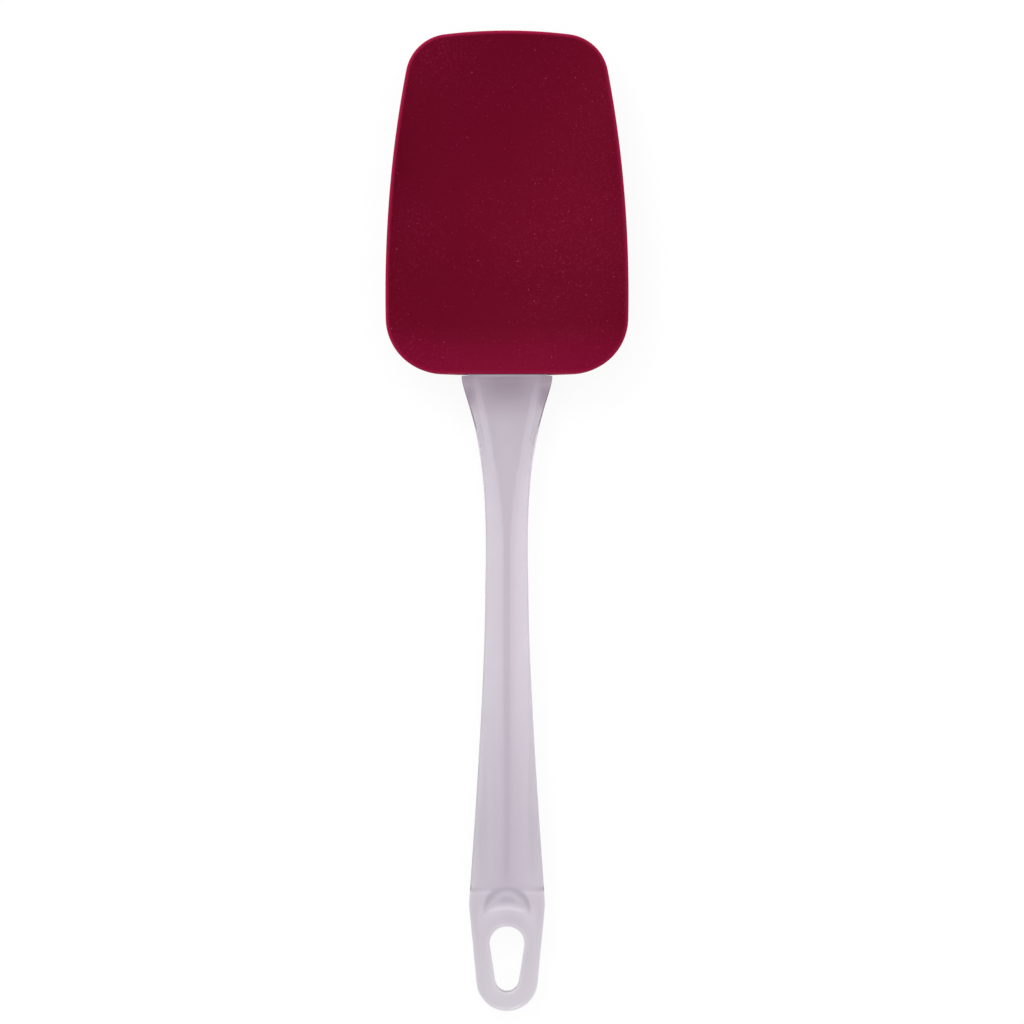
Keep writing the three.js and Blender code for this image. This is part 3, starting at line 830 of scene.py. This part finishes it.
def plastic_tints(tree, place):
    """Masks of painted shade on the clear plastic, each with its tint"""
    spot = add(tree, "ShaderNodeSeparateXYZ", {"Vector": place})
    across = maths(tree, "ABSOLUTE", spot.outputs["X"])
    along = spot.outputs["Y"]
    from_hole = distance_from(tree, across, along, HOLE_BROAD_Y * MM)
    from_shaded_dome = distance_from(tree, across, along, SHADED_DOME_Y * MM)
    in_shaded_dome = ramp(tree, from_shaded_dome, *edge_at(SHADED_DOME_RADIUS), 1, 0)
    above_step = ramp(tree, along, *edge_at(BACK_STEP_Y))
    # The painted shade covers the dome and all above the back step, so the wings beside the dome stay
    # lighter
    shaded = maths(tree, "MAXIMUM", in_shaded_dome, above_step)
    body = maths(tree, "MULTIPLY", ramp(tree, from_hole, *BODY_SHADE_FROM_HOLE), shaded)
    # Painted shade along the wide end of the grip
    grip_shade = maths(tree, "MULTIPLY", body, ramp(tree, along, *GRIP_SHADE_ALONG))
    # Painted shade on the round patch of the loop's ramp
    dome_shade = maths(tree, "MULTIPLY", in_shaded_dome, body)
    # Painted shadow of the head over the top of the neck, with a painted reddish reflection
    neck_shadow = stretch(tree, along, NECK_SHADOW_START, NECK_SHADOW_STOP, ramp(tree, across, *NECK_SHADOW_ACROSS))
    # Painted shade at the top corners of the neck
    corner = stretch(tree, along, CORNER_SHADE_START, CORNER_SHADE_STOP, ramp(tree, across, *CORNER_SHADE_ACROSS))
    return (
        (body, BODY_SHADE_TINT),
        (grip_shade, GRIP_SHADE_TINT),
        (dome_shade, DOME_SHADE_TINT),
        (neck_shadow, NECK_SHADOW_TINT),
        (corner, CORNER_SHADE_TINT),
    )


def plastic_material():
    material, tree = blank_material("clear_plastic")
    place = add(tree, "ShaderNodeTexCoord").outputs["Object"]
    colour = mix_colours(tree, noise(tree, place, CLOUD_SCALE, CLOUD_DETAIL), PLASTIC_DEEP, PLASTIC_FULL)
    # Painted shade laid over the plastic's own cloudy tone
    for share, tint in plastic_tints(tree, place):
        colour = mix_colours(tree, share, colour, tint, "MULTIPLY")
    smear = noise(tree, place, PLASTIC_SMEAR_SCALE, PLASTIC_SMEAR_DETAIL)
    stretched = add(tree, "ShaderNodeMapping", {"Vector": place, "Scale": FLOW_STRETCH}).outputs["Vector"]
    flow = noise(tree, stretched, 1, FLOW_DETAIL)
    surface = add(tree, "ShaderNodeBsdfPrincipled", {
        "Base Color": colour,
        "Roughness": ramp(tree, smear, *PLASTIC_ROUGHNESS),
        "Normal": bumps(tree, flow, FLOW_STRENGTH, FLOW_DEPTH),
        "IOR": PLASTIC_IOR,
        "Transmission Weight": 1,
    })
    inside = add(tree, "ShaderNodeVolumeAbsorption", {"Color": PLASTIC_INSIDE, "Density": PLASTIC_DENSITY})
    add(tree, "ShaderNodeOutputMaterial", {
        "Surface": surface.outputs["BSDF"],
        "Volume": inside.outputs["Volume"],
    })
    return material


def floor_material():
    """White floor that also glows a little to what looks at it, so that it stays white in a soft shadow"""
    material, tree = blank_material("white_floor")
    path = add(tree, "ShaderNodeLightPath")
    seen = maths(tree, "MULTIPLY", path.outputs["Is Camera Ray"], FLOOR_GLOW)
    through = maths(tree, "MAXIMUM", path.outputs["Is Glossy Ray"], path.outputs["Is Transmission Ray"])
    share = maths(tree, "MAXIMUM", seen, maths(tree, "MULTIPLY", through, FLOOR_GLOW_THROUGH))
    matte = add(tree, "ShaderNodeBsdfDiffuse", {"Color": FLOOR_COLOUR})
    glow = add(tree, "ShaderNodeEmission", {"Color": WHITE, "Strength": 1})
    surface = add(tree, "ShaderNodeMixShader", {"Fac": share})
    tree.links.new(matte.outputs["BSDF"], surface.inputs[1])
    tree.links.new(glow.outputs["Emission"], surface.inputs[2])
    add(tree, "ShaderNodeOutputMaterial", {"Surface": surface.outputs["Shader"]})
    return material


# Floor, light and camera

def white_floor():
    half = FLOOR_SPAN / 2
    plan = ((-half, -half), (half, -half), (half, half), (-half, half))
    corners = [Vector((x, y, -FLOOR_DROP)) for x, y in plan]
    mesh = bpy.data.meshes.new("floor")
    mesh.from_pydata(corners, [], [(0, 1, 2, 3)])
    mesh.materials.append(floor_material())
    floor = bpy.data.objects.new("floor", mesh)
    bpy.context.collection.objects.link(floor)


def soft_lamp(name, place, spans, power):
    lamp = bpy.data.lights.new(name, "AREA")
    lamp.shape = "RECTANGLE"
    lamp.size = spans[0]
    lamp.size_y = spans[1]
    lamp.energy = power
    holder = bpy.data.objects.new(name, lamp)
    holder.location = place
    holder.rotation_euler = (-place).to_track_quat("-Z", "Y").to_euler()
    bpy.context.collection.objects.link(holder)


def studio_sky():
    world = bpy.data.worlds.new("studio")
    world.use_nodes = True
    tree = world.node_tree
    tree.nodes.clear()
    direction = add(tree, "ShaderNodeTexCoord").outputs["Generated"]
    height = add(tree, "ShaderNodeSeparateXYZ", {"Vector": direction}).outputs["Z"]
    ring = ramp(tree, height, *SKY_RING, SKY_LEVEL, SKY_LEVEL + SKY_RING_LEVEL)
    shade = maths(
        tree,
        "ADD",
        ramp(tree, height, *SKY_TOP, 0, SKY_TOP_SHADE),
        ramp(tree, height, *SKY_CAMERA, 0, SKY_CAMERA_SHADE),
    )
    lean = add(tree, "ShaderNodeVectorMath", {0: direction, 1: SKY_LEAN}, operation="DOT_PRODUCT")
    leaning = maths(tree, "ADD", lean.outputs["Value"], 1)
    level = maths(tree, "MULTIPLY", maths(tree, "SUBTRACT", ring, shade), leaning)
    sky = add(tree, "ShaderNodeBackground", {"Color": WHITE, "Strength": level})
    add(tree, "ShaderNodeOutputWorld", {"Surface": sky.outputs["Background"]})
    bpy.context.scene.world = world


def overhead_camera():
    lens = bpy.data.cameras.new("camera")
    lens.lens = LENS
    lens.sensor_width = SENSOR
    camera = bpy.data.objects.new("camera", lens)
    distance = PICTURE_SIZE * LENS / SENSOR
    camera.location = Vector((PICTURE_CENTRE.x, PICTURE_CENTRE.y, FOCUS_HEIGHT + distance)) * MM
    bpy.context.collection.objects.link(camera)
    bpy.context.scene.camera = camera


bpy.context.scene.view_settings.view_transform = "Standard"
overhead_camera()
white_floor()
studio_sky()
soft_lamp("key", KEY_PLACE, KEY_SPANS, KEY_POWER)
soft_lamp("strip", STRIP_PLACE, STRIP_SPANS, STRIP_POWER)
finish_piece(silicone_head(), silicone_material(), "silicone_head", "head")
finish_piece(clear_handle(), plastic_material(), "handle", "handle")
